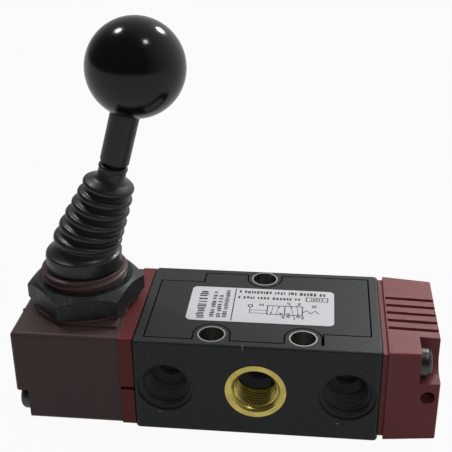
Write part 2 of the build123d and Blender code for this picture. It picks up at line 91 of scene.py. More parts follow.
# ---- places taken from the frame ----
lever_joint = next(j for j in frame["joints"] if j["name"] == "lever_tilt")
pivot = Vector(lever_joint["pos_m"])
ball_radius = (high_corner("ball_knob").x - low_corner("ball_knob").x) / 2
ball_centre = middle("ball_knob")
ball_centre.z = high_corner("ball_knob").z - ball_radius
lever_axis = (ball_centre - pivot).normalized()
lever_tilt = lever_axis.angle(Vector((0, 0, 1)))
lever_frame = Matrix.Translation(pivot) @ Matrix.Rotation(lever_tilt, 4, "Y")
ball_arm = (ball_centre - pivot).length
neck_x = middle("hex_nut").x
nut_top = high_corner("hex_nut").z
neck_tip = high_corner("lever_housing").z
bellows_low = low_corner("bellows").z
plate_top = high_corner("cover_plate").z
label_top = high_corner("label").z
label_middle = middle("label")
body_front = low_corner("valve_body").y
port_level = middle("port_insert_1").z
# The outer front ports stand twice as far out as the two rear ones.
outer_port = middle("port_insert_2").x * 2


# ---- colours and node trees ----

def srgb(red, green, blue):
    """A linear colour from 0 to 255 screen values."""
    def linear(value):
        value /= 255
        if value <= 0.04045:
            return value / 12.92
        return ((value + 0.055) / 1.055) ** 2.4
    return (linear(red), linear(green), linear(blue), 1.0)


def scaled(colour, factor):
    """A linear colour made lighter or darker."""
    return tuple(min(channel * factor, 1.0) for channel in colour[:3]) + (1.0,)


class Graph:
    """A node tree being put together."""

    def __init__(self, tree):
        self.tree = tree

    def add(self, kind, **settings):
        node = self.tree.nodes.new(kind)
        for key, value in settings.items():
            setattr(node, key, value)
        return node

    def plug(self, target, value):
        """Link an output to a socket, or set the socket's value."""
        if isinstance(value, bpy.types.NodeSocket):
            self.tree.links.new(value, target)
        else:
            target.default_value = value

    def fill(self, node, *values):
        """Plug a node's first sockets and return its first output."""
        for target, value in zip(node.inputs, values):
            self.plug(target, value)
        return node.outputs[0]

    def math(self, operation, first, second):
        return self.fill(self.add("ShaderNodeMath", operation=operation), first, second)

    def dot(self, first, second):
        """Dot product of two vectors."""
        node = self.add("ShaderNodeVectorMath", operation="DOT_PRODUCT")
        self.fill(node, first, second)
        return node.outputs["Value"]

    def band(self, value, low, high, to_low=0.0, to_high=1.0):
        """Map low..high to to_low..to_high, clamped."""
        node = self.add("ShaderNodeMapRange")
        self.plug(node.inputs["Value"], value)
        self.plug(node.inputs["From Min"], low)
        self.plug(node.inputs["From Max"], high)
        self.plug(node.inputs["To Min"], to_low)
        self.plug(node.inputs["To Max"], to_high)
        return node.outputs["Result"]

    def glow(self, kind, strength):
        """A white emission or background shader."""
        node = self.add(kind)
        self.plug(node.inputs["Color"], WHITE)
        self.plug(node.inputs["Strength"], strength)
        return node.outputs[0]

    def mix_shaders(self, factor, first, second):
        return self.fill(self.add("ShaderNodeMixShader"), factor, first, second)


class Recipe(Graph):
    """A node material on object coordinates."""

    def __init__(self, name, roughness, metallic=0.0, gloss=0.5):
        self.material = bpy.data.materials.new(name)
        self.material.use_nodes = True
        super().__init__(self.material.node_tree)
        self.roughness = roughness
        self.shader = self.tree.nodes["Principled BSDF"]
        self.shader.inputs["Roughness"].default_value = roughness
        self.shader.inputs["Metallic"].default_value = metallic
        self.shader.inputs["Specular IOR Level"].default_value = gloss
        self.place = self.add("ShaderNodeTexCoord").outputs["Object"]

    def noise(self, per_metre, detail, roughness=0.5, stretch=None):
        """Noise with about that many blobs per metre, from 0 to 1.

        stretch scales it by axis, for grain that runs one way.
        """
        place = self.place
        if stretch:
            mapping = self.add("ShaderNodeMapping")
            self.plug(mapping.inputs["Vector"], place)
            self.plug(mapping.inputs["Scale"], stretch)
            place = mapping.outputs["Vector"]
        node = self.add("ShaderNodeTexNoise")
        self.plug(node.inputs["Vector"], place)
        self.plug(node.inputs["Scale"], per_metre)
        self.plug(node.inputs["Detail"], detail)
        self.plug(node.inputs["Roughness"], roughness)
        return node.outputs["Fac"]

    def away(self, centre, half):
        """Distance from a centre, 1 on the ellipsoid with these half sizes."""
        mapping = self.add("ShaderNodeMapping")
        self.plug(mapping.inputs["Vector"], self.place)
        self.plug(mapping.inputs["Scale"], tuple(1 / size for size in half))
        shift = tuple(-c / size for c, size in zip(centre, half))
        self.plug(mapping.inputs["Location"], shift)
        length = self.add("ShaderNodeVectorMath", operation="LENGTH")
        self.plug(length.inputs[0], mapping.outputs["Vector"])
        return length.outputs["Value"]

    def mix(self, factor, first, second):
        """Mix two colours."""
        node = self.add("ShaderNodeMix", data_type="RGBA")
        self.plug(node.inputs[0], factor)
        self.plug(node.inputs[6], first)
        self.plug(node.inputs[7], second)
        return node.outputs[2]

    def edges(self, radius, low=0.02, high=0.25):
        """1 near sharp edges, from how far a bevelled normal leaves the true one."""
        bevel = self.add("ShaderNodeBevel", samples=6)
        bevel.inputs["Radius"].default_value = radius
        true = self.add("ShaderNodeNewGeometry").outputs["Normal"]
        turned = self.math("SUBTRACT", 1.0, self.dot(bevel.outputs["Normal"], true))
        return self.band(turned, low, high)

    def hollow_shade(self, reach):
        """1 in narrow grooves and corners, 0 on open faces: the mask for painted shade."""
        node = self.add("ShaderNodeAmbientOcclusion", samples=6)
        node.inputs["Distance"].default_value = reach
        return self.band(node.outputs["AO"], 0.35, 0.85, 1.0, 0.0)

    def bump(self, height, distance, strength, soften=None):
        """Feed a height, in units of distance, to the shader's normal."""
        node = self.add("ShaderNodeBump")
        self.plug(node.inputs["Height"], height)
        self.plug(node.inputs["Distance"], distance)
        self.plug(node.inputs["Strength"], strength)
        if soften:
            bevel = self.add("ShaderNodeBevel", samples=4)
            bevel.inputs["Radius"].default_value = soften
            self.plug(node.inputs["Normal"], bevel.outputs["Normal"])
        self.plug(self.shader.inputs["Normal"], node.outputs["Normal"])

    def colour(self, value):
        self.plug(self.shader.inputs["Base Color"], value)

    def colour_so_far(self):
        return self.shader.inputs["Base Color"].links[0].from_socket

    def rough(self, value, less, more):
        """Let the roughness follow a noise, from a little less to a little more."""
        low, high = self.roughness - less, self.roughness + more
        uneven = self.band(value, 0.3, 0.7, low, high)
        self.plug(self.shader.inputs["Roughness"], uneven)


def paint(recipe, *names):
    """Give CAD nodes their material."""
    for name in names:
        mesh = nodes[name].data
        mesh.materials.clear()
        mesh.materials.append(recipe.material)


# ---- materials ----

def moulded(name, colour, roughness, grain=0.6, specks=0.0, worn=0.0, painted_edge_shade=0.0,
            gloss=0.25):
    """Satin moulded plastic: fine grain, slow colour change and painted shade in its grooves and
    corners.

    specks adds dust, worn rubs the edges pale and the edge shade darkens them with painted
    shade, each 0 to 1.
    """
    made = Recipe(name, roughness, gloss=gloss)
    cloud = made.noise(140, detail=4.0)
    mottle = 0.12
    base = made.mix(cloud, scaled(colour, 1 - mottle), scaled(colour, 1 + mottle))
    if specks:
        dust = made.band(made.noise(1900, detail=2.0), 0.70, 0.76)
        base = made.mix(made.math("MULTIPLY", dust, specks), base, srgb(150, 148, 142))
    # Painted shade along the sharp edges, darkening the part's outline.
    if painted_edge_shade:
        shaded_edges = made.math("MULTIPLY", made.edges(0.3 * MM, 0.02, 0.12), painted_edge_shade)
        base = made.mix(shaded_edges, base, scaled(colour, 0.15))
    if worn:
        patchy = made.band(cloud, 0.35, 0.65)
        rubbed = made.math("MULTIPLY", made.edges(0.35 * MM), patchy)
        base = made.mix(made.math("MULTIPLY", rubbed, worn), base, scaled(colour, 3.0))
    # Painted shade: the colour is darkened in narrow grooves and corners.
    shade = made.math("MULTIPLY", made.hollow_shade(0.7 * MM), 0.8)
    made.colour(made.mix(shade, base, scaled(colour, 0.2)))
    made.rough(made.noise(900, detail=3.0), less=0.07, more=0.09)
    fine = made.noise(5200, detail=2.0, roughness=0.6)
    made.bump(fine, 0.02 * MM, grain, soften=0.12 * MM)
    return made


def scuff(made, marks):
    """Add a few placed white scuffs, each (centre, half sizes), to a material."""
    ragged = made.band(made.noise(2600, detail=3.0, stretch=(1, 1, 0.3)), 0.42, 0.62)
    for centre, half in marks:
        spot = made.band(made.away(centre, half), 1.0, 0.55)
        spot = made.math("MULTIPLY", made.math("MULTIPLY", spot, ragged), 0.7)
        made.colour(made.mix(spot, made.colour_so_far(), srgb(190, 190, 188)))


def painted_bore_light(made, colour, centres, half):
    """Paint light inside a few drilled holes: the material turns paler there, in place of lamp
    light reaching in.
    """
    for centre in centres:
        inside = made.band(made.away(centre, half), 1.0, 0.85)
        made.colour(made.mix(inside, made.colour_so_far(), colour))


def brass(name):
    """Turned brass: a finely uneven surface and a little tarnish."""
    made = Recipe(name, 0.24, metallic=1.0)
    tarnish = made.noise(420, detail=4.0)
    base = srgb(216, 198, 110)
    made.colour(made.mix(made.band(tarnish, 0.45, 0.75), base, scaled(base, 0.72)))
    made.rough(tarnish, less=0.05, more=0.14)
    made.bump(made.noise(6000, detail=2.0), 0.006 * MM, 0.5)
    return made


def steel(name, value, roughness, stretch=(1, 1, 1)):
    """Drawn or ground steel; stretch draws its fine lines out along one axis."""
    made = Recipe(name, roughness, metallic=1.0)
    lines = made.noise(3000, detail=3.0, stretch=stretch)
    shade = srgb(value, value, round(value * 0.985))
    made.colour(made.mix(lines, scaled(shade, 0.82), scaled(shade, 1.12)))
    made.rough(lines, less=0.06, more=0.12)
    made.bump(lines, 0.004 * MM, 0.6)
    return made


def rubber(name, colour, roughness=0.45):
    """Black rubber with a satin skin and faint dust."""
    made = Recipe(name, roughness)
    dust = made.noise(700, detail=4.0, roughness=0.6)
    base = srgb(*colour)
    made.colour(made.mix(made.band(dust, 0.45, 0.8), base, scaled(base, 1.7)))
    made.rough(made.noise(1500, detail=3.0), less=0.05, more=0.07)
    made.bump(made.noise(1800, detail=2.0), 0.004 * MM, 0.3)
    return made


def burnished(name):
    """Blackened nut steel: dark, rubbed bright in fine lines and at the edges."""
    made = Recipe(name, 0.42, metallic=0.25, gloss=0.35)
    dark = srgb(30, 31, 32)
    pale = srgb(112, 116, 114)
    cloud = made.noise(260, detail=4.0)
    lines = made.noise(2400, detail=4.0, roughness=0.7, stretch=(1.0, 0.16, 0.5))
    lines = made.band(lines, 0.56, 0.66)
    lines = made.math("MULTIPLY", lines, made.band(cloud, 0.45, 0.62))
    rub = made.math("MULTIPLY", made.edges(0.3 * MM, 0.01, 0.2), 0.75)
    base = made.mix(made.band(cloud, 0.35, 0.7), dark, scaled(dark, 1.7))
    base = made.mix(made.math("MULTIPLY", lines, 0.55), base, pale)
    made.colour(made.mix(rub, base, pale))
    made.rough(cloud, less=0.08, more=0.10)
    made.bump(made.noise(3000, detail=3.0), 0.01 * MM, 0.6, soften=0.15 * MM)
    return made


def glossy_knob(name):
    """Polished black thermoset: deep gloss with the faintest ripple and dust."""
    made = Recipe(name, 0.16, gloss=0.36)
    dust = made.band(made.noise(1300, detail=3.0), 0.66, 0.78)
    dust = made.math("MULTIPLY", dust, 0.12)
    made.colour(made.mix(dust, srgb(15, 15, 16), srgb(90, 90, 88)))
    made.rough(made.noise(60, detail=2.0), less=0.03, more=0.03)
    made.bump(made.noise(90, detail=2.0), 0.012 * MM, 0.35)
    return made


def film(name):
    """White printed label film."""
    made = Recipe(name, 0.38)
    cloud = made.noise(220, detail=3.0)
    made.colour(made.mix(cloud, srgb(206, 208, 211), srgb(219, 220, 223)))
    made.bump(made.noise(1600, detail=3.0), 0.006 * MM, 0.5)
    return made


def ink(name):
    """Printed black ink, a little worn."""
    made = Recipe(name, 0.5)
    wear = made.noise(2500, detail=3.0)
    made.colour(made.mix(wear, srgb(30, 30, 36), srgb(60, 60, 66)))
    return made


# ---- mesh helpers ----

def new_piece(name, vertices, faces, body, recipe, smooth=True):
    """A mesh object with a recipe's material, riding on a body if one is given."""
    mesh = bpy.data.meshes.new(name)
    mesh.from_pydata([tuple(v) for v in vertices], [], faces)
    mesh.update()
    shape = bmesh.new()
    shape.from_mesh(mesh)
    bmesh.ops.recalc_face_normals(shape, faces=shape.faces)
    shape.to_mesh(mesh)
    shape.free()
    for polygon in mesh.polygons:
        polygon.use_smooth = smooth
    piece = bpy.data.objects.new(name, mesh)
    bpy.context.scene.collection.objects.link(piece)
    mesh.materials.append(recipe.material)
    if body:
        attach(piece, body)
    return piece


def ring_faces(rings, count, closed):
    """Quads between rings of points; closed joins the last ring to the first."""
    faces = []
    for i in range(rings if closed else rings - 1):
        for j in range(count):
            a = i * count + j
            b = i * count + (j + 1) % count
            c = ((i + 1) % rings) * count + (j + 1) % count
            d = ((i + 1) % rings) * count + j
            faces.append((a, b, c, d))
    return faces


def ring_piece(name, rings, body, recipe):
    """A closed tube of rings: out along one skin and back along the other."""
    vertices = [point for ring in rings for point in ring]
    faces = ring_faces(len(rings), len(rings[0]), True)
    return new_piece(name, vertices, faces, body, recipe)


def round_ring(place, radius, height, count):
    """Points round the Z axis of a matrix."""
    turn = 2 * pi / count
    return [place @ Vector((radius * cos(i * turn), radius * sin(i * turn), height))
            for i in range(count)]


def arc(radius, centre_radius, centre_height, start, end, steps):
    """(radius, height) points on an arc; angles in degrees from the radial way."""
    points = []
    for i in range(steps + 1):
        angle = radians(start + (end - start) * i / steps)
        points.append((centre_radius + radius * cos(angle),
                       centre_height + radius * sin(angle)))
    return points


# ---- threads ----

def tooth(phase):
    """Height of a rounded tooth, 0 at the root and 1 at the crest."""
    flat = 0.12
    rise = abs((phase % 1.0) * 2 - 1)
    rise = min(max((rise - flat) / (1 - 2 * flat), 0.0), 1.0)
    return rise * rise * (3 - 2 * rise)


def make_thread(name, place, recipe, root, crest, back, pitch, length,
                fade=1.0, count=96, per_turn=10):
    """A helical thread along +Z of a matrix, between the root and crest radius.

    back is the radius of the hidden skin; crest is under root for a thread in a
    hole. The crest fades in and out over fade turns at the ends.
    """
    steps = round(length / pitch * per_turn)
    rings = []
    for i in range(steps + 1):
        along = i * length / steps
        ends = min(along, length - along) / (fade * pitch)
        lead = min(max(ends, 0.0), 1.0)
        ring = []
        for j in range(count):
            turn = j / count
            radius = root + (crest - root) * lead * tooth(along / pitch - turn)
            angle = 2 * pi * turn
            point = Vector((radius * cos(angle), radius * sin(angle), along))
            ring.append(place @ point)
        rings.append(ring)
    rings.append(round_ring(place, back, length, count))
    rings.append(round_ring(place, back, 0.0, count))
    ring_piece(name, rings, "body", recipe)


# ---- pieces ----

def make_knob(recipe):
    """The ball knob: a fine sphere with a chamfered blind bore underneath."""
    bore = 3.55 * MM
    mouth = 4.0 * MM
    bore_end = 2.2 * MM
    chamfer = 0.35 * MM
    near_axis = 0.00002 * MM
    steps = 96
    low = -sqrt(ball_radius ** 2 - mouth ** 2)
    mouth_angle = -(pi / 2 - mouth / ball_radius)
    profile = []
    for i in range(steps + 1):
        angle = mouth_angle + (pi / 2 - mouth_angle) * i / steps
        radius = max(ball_radius * cos(angle), near_axis)
        profile.append((radius, ball_radius * sin(angle)))
    profile += [(near_axis, bore_end), (bore, bore_end), (bore, low + chamfer)]
    place = lever_frame @ Matrix.Translation((0, 0, ball_arm))
    rings = [round_ring(place, radius, height, count=160) for radius, height in profile]
    piece = ring_piece("knob_ball", rings, "lever", recipe)
    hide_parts("ball_knob")


# Sizes of the bellows, as in the frame's solid.
cuff_radius = 8.15 * MM
cuff_height = 3.5 * MM
cuff_lip = 0.35 * MM
cuff_shoulder = 0.45 * MM
lobe_count = 6
lobe_gap = 1.6 * MM
lobe_pitch = 2.48 * MM
lobe_depth = 1.2 * MM
first_lobe = 7.5 * MM
last_lobe = 5.25 * MM
bellows_neck = 2.95 * MM
bellows_bead = 3.1 * MM
bellows_wall = 0.9 * MM
neck_length = 2.4 * MM
bead_length = 0.9 * MM
sway_power = 2.3
tilt_lead = 1.45
spigot_radius = 7.05 * MM
grip_radius = 2.3 * MM
cuff_top = bellows_low + cuff_height
lobes_low = cuff_top + lobe_gap
lobes_high = lobes_low + lobe_count * lobe_pitch
sway_low = neck_tip + 0.1 * MM
neck_end = lobes_high + neck_length


def sway(z):
    """How far the bellows has left the neck's axis for the lever's, 0 to 1."""
    left = (neck_end - z) / (neck_end - sway_low)
    return 1 - min(max(left, 0.0), 1.0) ** sway_power


def bellows_place(z):
    """Matrix of the bellows' cross-section at a height."""
    share = sway(z)
    x = neck_x + share * (z - pivot.z) * tan(lever_tilt)
    tilt = min(share * tilt_lead, 1.0) * lever_tilt
    return Matrix.Translation((x, 0, z)) @ Matrix.Rotation(tilt, 4, "Y")


def lobe_radius(z):
    along = (z - lobes_low) / (lobes_high - lobes_low)
    return first_lobe + along * (last_lobe - first_lobe)


def ridge():
    """Half a ridge, crest to groove: (height from its crest, depth under it).

    A round crest runs up to its flare angle, then a curve with one control point
    runs level into the bottom of the groove.
    """
    crest = 0.72 * MM
    flare = radians(72)
    crest_steps, groove_steps = 5, 6
    half = []
    for i in range(crest_steps + 1):
        angle = flare * i / crest_steps
        half.append((crest * sin(angle), crest * (1 - cos(angle))))
    start, depth = half[-1]
    turn = start + (lobe_depth - depth) / tan(flare)
    for i in range(1, groove_steps + 1):
        t = i / groove_steps
        height = (1 - t) ** 2 * start + 2 * t * (1 - t) * turn + t * t * lobe_pitch / 2
        dip = (1 - t) ** 2 * depth + 2 * t * (1 - t) * lobe_depth + t * t * lobe_depth
        half.append((height, dip))
    return half


def bellows_rings():
    """(height, radius) up the outside from the cuff, then back down inside."""
    outside = [(bellows_low, cuff_radius - cuff_lip),
               (bellows_low + 0.1 * MM, cuff_radius - 0.12 * MM),
               (bellows_low + cuff_lip, cuff_radius),
               (sway_low, cuff_radius)]
    for radius, height in arc(cuff_shoulder, cuff_radius - cuff_shoulder,
                              cuff_top - cuff_shoulder, start=0, end=80, steps=6):
        outside.append((height, radius))
    outside.append((cuff_top + 0.35 * MM, first_lobe - 0.15 * MM))
    outside.append((lobes_low - 0.5 * MM, first_lobe - lobe_depth + 0.02 * MM))
    half = ridge()
    for i in range(lobe_count):
        middle_height = lobes_low + (i + 0.5) * lobe_pitch
        crest = lobe_radius(middle_height)
        for height, dip in reversed(half[1:]):
            outside.append((middle_height - height, crest - dip))
        # The last ridge runs out into the neck after its crest.
        upper = half[:-1] if i < lobe_count - 1 else half[:5]
        for height, dip in upper:
            outside.append((middle_height + height, crest - dip))
    outside += [(lobes_high - 0.15 * MM, bellows_neck + 1.0 * MM),
                (lobes_high + 0.25 * MM, bellows_neck + 0.25 * MM),
                (lobes_high + 0.75 * MM, bellows_neck),
                (neck_end - 0.3 * MM, bellows_neck),
                (neck_end - 0.1 * MM, bellows_neck - 0.08 * MM),
                (neck_end + 0.1 * MM, bellows_bead - 0.12 * MM),
                (neck_end + 0.35 * MM, bellows_bead),
                (neck_end + 0.65 * MM, bellows_bead - 0.08 * MM),
                (neck_end + bead_length, bellows_neck - 0.1 * MM)]
    inside = [(neck_end + bead_length, grip_radius),
              (lobes_high - 0.6 * MM, grip_radius)]
    for i in range(lobe_count, -1, -1):
        z = lobes_low + i * lobe_pitch * (lobe_count - 0.6) / lobe_count
        inside.append((z, lobe_radius(z) - lobe_depth - bellows_wall))
    inside += [(cuff_top - 0.2 * MM, spigot_radius), (sway_low, spigot_radius),
               (bellows_low, spigot_radius)]
    return outside + inside


def make_bellows(recipe):
    """The rubber bellows, bending between the neck and the lever."""
    rings = [round_ring(bellows_place(z), radius, height=0.0, count=112)
             for z, radius in bellows_rings()]
    piece = ring_piece("rubber_bellows", rings, None, recipe)
    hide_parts("bellows")
    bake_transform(piece)


def make_return_spring(recipe):
    """The coil spring between the cap's guide and the moving spool."""
    low, high = low_corner("return_spring"), high_corner("return_spring")
    centre = middle("return_spring")
    wire = 0.35 * MM
    turns, per_turn, sides = 8, 32, 12
    coil = (high.z - low.z) / 2 - wire
    left, right = low.x + wire, high.x - wire
    steps = turns * per_turn
    vertices = []
    for i in range(steps + 1):
        angle = 2 * pi * i / per_turn
        out = Vector((0, cos(angle), sin(angle)))
        x = left + (right - left) * i / steps
        heart = Vector((x, centre.y, centre.z)) + out * coil
        for j in range(sides):
            turn = 2 * pi * j / sides
            sideways = Vector((wire * sin(turn), 0, 0))
            vertices.append(heart + out * wire * cos(turn) + sideways)
    faces = ring_faces(steps + 1, sides, False)
    faces.append(tuple(range(sides)))
    faces.append(tuple(range(steps * sides, (steps + 1) * sides)))
    piece = new_piece("coil_spring", vertices, faces, None, recipe)
    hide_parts("return_spring")
    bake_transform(piece)


def make_port_thread(number, centre, face, inward, start, length, recipe):
    """A G1/8 thread in one port, from start under its face; inward is +1 or -1 in y."""
    place = Matrix.Translation((centre.x, face + inward * start, centre.z))
    place = place @ Matrix.Rotation(radians(-90 * inward), 4, "X")
    make_thread("port_thread_%d" % number, place, recipe, root=4.85 * MM,
                crest=4.283 * MM, back=4.86 * MM, pitch=0.907 * MM, length=length)


def make_port_threads(brass_recipe, plastic_recipe):
    """Threads in the brass inserts of ports 1, 2 and 4 and the plastic of 3 and 5."""
    length = 7.1 * MM
    insert_chamfer, plastic_chamfer = 0.4 * MM, 0.9 * MM
    for number in (1, 2, 4):
        insert = "port_insert_%d" % number
        centre = middle(insert)
        inward = 1 if centre.y < 0 else -1
        face = low_corner(insert).y if inward > 0 else high_corner(insert).y
        make_port_thread(number, centre, face, inward, insert_chamfer, length,
                         brass_recipe)
    for number, x in ((3, outer_port), (5, -outer_port)):
        make_port_thread(number, Vector((x, 0, port_level)), body_front, 1,
                         plastic_chamfer, length - 0.5 * MM,
                         plastic_recipe)


def make_neck_thread(recipe):
    """The coarse moulded thread that shows above the nut."""
    shoulder = bellows_low - 0.1 * MM
    place = Matrix.Translation((neck_x, 0, nut_top))
    make_thread("neck_thread", place, recipe, root=8.62 * MM,
                crest=9.3 * MM, back=8.52 * MM, pitch=1.5 * MM,
                length=shoulder - nut_top, fade=0.18, count=128, per_turn=16)


def make_gate_mark(recipe):
    """The small rough gate mark on the housing's outer top edge."""
    centre = Vector((low_corner("lever_housing").x + 0.35 * MM, -5.4 * MM,
                     plate_top - 0.45 * MM))
    flatness = 0.6
    rng = random.Random(7)
    shape = bmesh.new()
    bmesh.ops.create_icosphere(shape, subdivisions=3, radius=0.55 * MM)
    for vertex in shape.verts:
        vertex.co *= 1 + rng.uniform(-0.12, 0.08)
        vertex.co.x *= flatness
        vertex.co += centre
    vertices = [v.co.copy() for v in shape.verts]
    faces = [[v.index for v in face.verts] for face in shape.faces]
    shape.free()
    new_piece("gate_mark", vertices, faces, "body", recipe)


# ---- label print ----

# Widths of the printed strokes, in millimetres.
HEAVY_STROKE = 0.24
KNOB_STROKE = 0.2
DIGIT_STROKE = 0.19
STROKE = 0.17
ARROW_STROKE = 0.11


class Print:
    """Flat marks on the label, in millimetres from its centre."""

    def __init__(self):
        self.vertices = []
        self.faces = []

    def patch(self, corners):
        """One flat face."""
        start = len(self.vertices)
        height = label_top + 0.015 * MM
        for u, v in corners:
            place = (label_middle.x + u * MM, label_middle.y + v * MM, height)
            self.vertices.append(place)
        self.faces.append(tuple(range(start, start + len(corners))))

    def bar(self, u0, v0, u1, v1):
        self.patch([(u0, v0), (u1, v0), (u1, v1), (u0, v1)])

    def box(self, left, low, right, high):
        """A heavy outline."""
        self.line([(left, low), (right, low), (right, high), (left, high), (left, low)],
                  HEAVY_STROKE)

    def line(self, points, width):
        """A stroke through points."""
        for (u0, v0), (u1, v1) in zip(points, points[1:]):
            length = sqrt((u1 - u0) ** 2 + (v1 - v0) ** 2)
            du = (u1 - u0) / length * width / 2
            dv = (v1 - v0) / length * width / 2
            self.patch([(u0 - du - dv, v0 - dv + du), (u0 - du + dv, v0 - dv - du),
                        (u1 + du + dv, v1 + dv - du), (u1 + du - dv, v1 + dv + du)])

    def circle(self, u, v, radius, width, steps=20):
        points = []
        for i in range(steps + 1):
            angle = 2 * pi * i / steps
            points.append((u + radius * cos(angle), v + radius * sin(angle)))
        self.line(points, width)

    def arrow(self, u0, v0, u1, v1, head):
        """A line with a solid head of that length at its second end."""
        self.line([(u0, v0), (u1, v1)], ARROW_STROKE)
        length = sqrt((u1 - u0) ** 2 + (v1 - v0) ** 2)
        du, dv = (u1 - u0) / length, (v1 - v0) / length
        base_u, base_v = u1 - du * head, v1 - dv * head
        side = head * 0.32
        self.patch([(u1, v1), (base_u - dv * side, base_v + du * side),
                    (base_u + dv * side, base_v - du * side)])


SEGMENTS = {"1": "bc", "2": "abged", "3": "abgcd", "4": "fgbc", "5": "afgcd"}


def digits(marks, text, u, v, height=0.85):
    """Plain seven-segment digits for the port numbers."""
    width = height * 0.5
    half = height / 2
    ends = {"a": ((0, height), (width, height)), "b": ((width, height), (width, half)),
            "c": ((width, half), (width, 0)), "d": ((0, 0), (width, 0)),
            "e": ((0, 0), (0, half)), "f": ((0, half), (0, height)),
            "g": ((0, half), (width, half))}
    for character in text:
        for segment in SEGMENTS[character]:
            (a, b), (c, d) = ends[segment]
            marks.line([(u + a, v + b), (u + c, v + d)], DIGIT_STROKE)
        u += width * 1.75


def row_of_bars(marks, start, end, level, height, rng, upright=False):
    """Plain bars of uneven width where the real label has lines of words."""
    along = start
    shortest = 0.3
    while along < end - shortest:
        width = rng.uniform(0.28, 0.62)
        stop = min(along + width, end)
        low = level - height / 2 * rng.choice((1.0, 1.0, 0.7))
        high = level + height / 2 * rng.choice((1.0, 1.0, 0.75))
        if upright:
            marks.bar(low, along, high, stop)
        else:
            marks.bar(along, low, stop, high)
        along = stop + rng.choice((0.22, 0.26, 0.3, 0.75))


def symbol(marks):
    """The standard five port, two position symbol with a lever and a spring."""
    left, right, low, high = 1.4, 9.0, -3.5, 0.1
    square = (right - left) / 2
    centre = left + square
    marks.box(left, low, right, high)
    marks.line([(centre, low), (centre, high)], HEAVY_STROKE)
    near, supply, far = square * 0.22, square / 2, square * 0.78
    outlets = (square * 0.33, square * 0.67)

    # closed ports, each a short stem under a bar
    stem, half_bar = 0.55, 0.35
    for side in (left, centre):
        closed = side + (far if side == left else near)
        marks.line([(closed, low), (closed, low + stem)], STROKE)
        marks.line([(closed - half_bar, low + stem), (closed + half_bar, low + stem)],
                   HEAVY_STROKE)

    # flow arrows
    head = 0.75
    marks.arrow(left + outlets[0], high, left + near, low, head)
    marks.arrow(left + supply, low, left + outlets[1], high, head)
    marks.arrow(centre + supply, low, centre + outlets[0], high, head)
    marks.arrow(centre + outlets[1], high, centre + far, low, head)

    # exhaust triangles, the supply's stem and the outlets' stems
    stem, tip, supply_stem = 0.4, 1.1, 0.55
    for u in (centre + near, centre + far):
        marks.line([(u, low), (u, low - stem)], STROKE)
        marks.line([(u - stem, low - stem), (u + stem, low - stem), (u, low - tip),
                    (u - stem, low - stem)], STROKE)
    marks.line([(centre + supply, low), (centre + supply, low - supply_stem)], STROKE)
    for offset in outlets:
        marks.line([(centre + offset, high), (centre + offset, high + stem)], STROKE)

    # the hand lever on the left
    handle, rod_top, rod_bottom = -2.35, -2.05, -3.25
    knob_low, knob_middle, knob_radius = -0.75, -0.3, 0.5
    marks.line([(handle, rod_top), (left, rod_top)], STROKE)
    marks.line([(handle, rod_bottom), (left, rod_bottom)], STROKE)
    marks.line([(handle, rod_bottom), (handle, knob_low)], STROKE)
    marks.circle(handle, knob_middle, knob_radius, KNOB_STROKE)

    # the spring on the right
    zig, zag, half_pitch = -1.4, -2.5, 0.9
    zigzag = [(right, -2.3)]
    for i in range(1, 5):
        zigzag.append((right + half_pitch * i, zig if i % 2 else zag))
    marks.line(zigzag, KNOB_STROKE)

    # the numbers of the two pilots, the outlets, the exhausts and the supply
    for text, u, v in (("14", -0.75, -0.25), ("12", 10.7, 0.0),
                       ("4", centre + outlets[0] - 0.75, high + 0.6),
                       ("2", centre + outlets[1] + 0.3, high + 0.6),
                       ("5", centre + near - 1.3, low - 1.3),
                       ("1", centre + supply - 0.15, low - 1.75),
                       ("3", centre + far + 0.65, low - 1.3)):
        digits(marks, text, u, v)


def make_label_print(recipe):
    """Divider, plain bars in place of words, and the port symbol."""
    marks = Print()
    rng = random.Random(11)
    divider = -6.05
    marks.line([(divider, -6.6), (divider, 6.7)], HEAVY_STROKE)
    row_of_bars(marks, -5.2, 14.0, level=5.5, height=1.25, rng=rng)
    row_of_bars(marks, -5.3, 8.7, level=3.1, height=1.0, rng=rng)
    marks.box(9.7, 2.6, 14.4, 4.1)
    row_of_bars(marks, 10.7, 13.4, level=3.35, height=0.75, rng=rng)
    for level, end in ((-10.4, 5.2), (-9.0, 4.4), (-7.65, 6.1)):
        row_of_bars(marks, -5.6, end, level, height=0.95, rng=rng, upright=True)
    row_of_bars(marks, -6.2, 5.6, level=-12.9, height=1.9, rng=rng, upright=True)
    symbol(marks)
    new_piece("label_print", marks.vertices, marks.faces, "body", recipe,
              smooth=False)


# ---- paint and pieces ----

def body_plastic():
    """The body's black plastic, scuffed in front, with painted light inside the ports."""
    made = moulded("body_plastic", srgb(45, 47, 48), 0.42, specks=0.25, worn=0.35)
    # Centre and half sizes of each scuff in millimetres; y is from the front face.
    port = outer_port / MM
    scuffs = [((-2.7, 0.4, 21.6), (0.16, 1.0, 0.8)),
              ((-port - 1.1, 0.0, 5.9), (0.45, 0.5, 0.35)),
              ((-port - 1.3, 0.0, 4.6), (0.6, 0.5, 0.2)),
              ((-port - 0.4, 0.0, 2.5), (0.15, 0.5, 0.5)),
              ((port - 1.4, 0.0, 5.6), (0.5, 0.5, 0.35)),
              ((port - 1.7, 0.0, 4.1), (0.35, 0.5, 0.2))]
    placed = []
    for (x, y, z), half in scuffs:
        centre = (x * MM, body_front + y * MM, z * MM)
        placed.append((centre, tuple(size * MM for size in half)))
    scuff(made, placed)
    # Painted light: the port bores are made paler, as if lamp light reached into them.
    reach = 7.5 * MM
    bores = [(x, body_front + reach, port_level) for x in (-outer_port, 0, outer_port)]
    painted_bore_light(made, srgb(78, 80, 82), bores, (reach, reach, reach))
    return made


